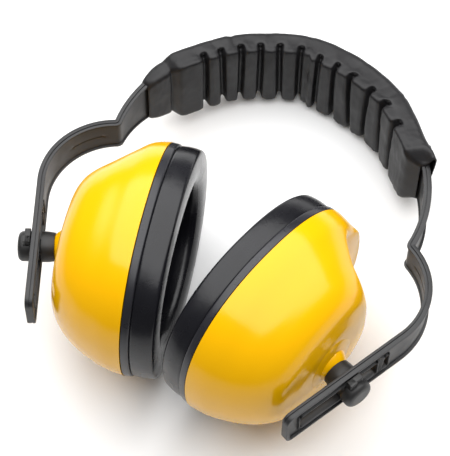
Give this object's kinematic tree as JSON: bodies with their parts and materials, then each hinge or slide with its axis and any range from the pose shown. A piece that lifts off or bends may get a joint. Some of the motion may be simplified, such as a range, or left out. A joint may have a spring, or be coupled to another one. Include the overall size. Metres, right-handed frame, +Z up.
{
  "type": "earmuff hearing protector",
  "caption": "Over-the-head hearing protector: two moulded ear cups with soft ring cushions, hung by ball pivots in the slotted arms of a sprung headband with a ribbed pad.",
  "frame": {"origin": "middle of the bounding box, on the surface that the object lies on", "axes": "+Z up, with the object lying on its side; +Y towards the crown of the headband; +X towards the right-hand cup"},
  "size_m": [0.1658, 0.1658, 0.0834],
  "materials": {
    "shell_yellow": "gloss",
    "strap_black": "satin",
    "pad_vinyl": "satin",
    "cushion_vinyl": "satin",
    "plate_black": "satin",
    "foam_grey": "matte",
    "fitting_black": "satin"
  },
  "bodies": {
    "headband_left_half": {"headband_left": "strap_black", "pad_cover_left": "pad_vinyl", "pad_foam_left": "foam_grey"},
    "headband_right_half": {"headband_right": "strap_black", "pad_cover_right": "pad_vinyl", "pad_foam_right": "foam_grey"},
    "left_slider": {"left_knob": "fitting_black", "left_collar": "fitting_black"},
    "left_pivot": {"left_ball_stud": "fitting_black"},
    "left_cup": {"left_cup_shell": "shell_yellow", "left_ball_seat": "fitting_black", "left_cup_foam": "foam_grey", "left_base_plate": "plate_black", "left_cushion_cover": "cushion_vinyl", "left_cushion_foam": "foam_grey"},
    "right_slider": {"right_knob": "fitting_black", "right_collar": "fitting_black"},
    "right_pivot": {"right_ball_stud": "fitting_black"},
    "right_cup": {"right_cup_shell": "shell_yellow", "right_ball_seat": "fitting_black", "right_cup_foam": "foam_grey", "right_base_plate": "plate_black", "right_cushion_cover": "cushion_vinyl", "right_cushion_foam": "foam_grey"}
  },
  "joints": [
    {"name": "headband_spread", "type": "hinge", "parent": "headband_left_half", "child": "headband_right_half", "pos_m": [0, 0.07976, 0.01641], "axis": [0, 0.213, 0.977], "range_deg": [0, 64], "stiffness_Nm_per_rad": 1.2},
    {"name": "left_height", "type": "slide", "parent": "headband_left_half", "child": "left_slider", "axis": [0.4202, -0.8866, 0.1933], "range_m": [-0.0079, 0.0195]},
    {"name": "left_swivel", "type": "hinge", "parent": "left_slider", "child": "left_pivot", "pos_m": [-0.06745, -0.05117, 0.04496], "axis": [-0.9074, -0.4106, 0.0895], "range_deg": [-20, 20]},
    {"name": "left_tilt", "type": "hinge", "parent": "left_pivot", "child": "left_cup", "pos_m": [-0.05566, -0.04583, 0.04379], "axis": [0, 0.213, 0.977], "range_deg": [0, 18]},
    {"name": "right_height", "type": "slide", "parent": "headband_right_half", "child": "right_slider", "axis": [-0.4202, -0.8866, 0.1933], "range_m": [-0.0079, 0.0195]},
    {"name": "right_swivel", "type": "hinge", "parent": "right_slider", "child": "right_pivot", "pos_m": [0.06745, -0.05117, 0.04496], "axis": [0.9074, -0.4106, 0.0895], "range_deg": [-20, 20]},
    {"name": "right_tilt", "type": "hinge", "parent": "right_pivot", "child": "right_cup", "pos_m": [0.05566, -0.04583, 0.04379], "axis": [0, -0.213, -0.977], "range_deg": [0, 18]}
  ],
  "couplings": [
    {"joint": "left_tilt", "follows": "headband_spread", "ratio": 0.28125},
    {"joint": "right_tilt", "follows": "headband_spread", "ratio": 0.28125}
  ]
}
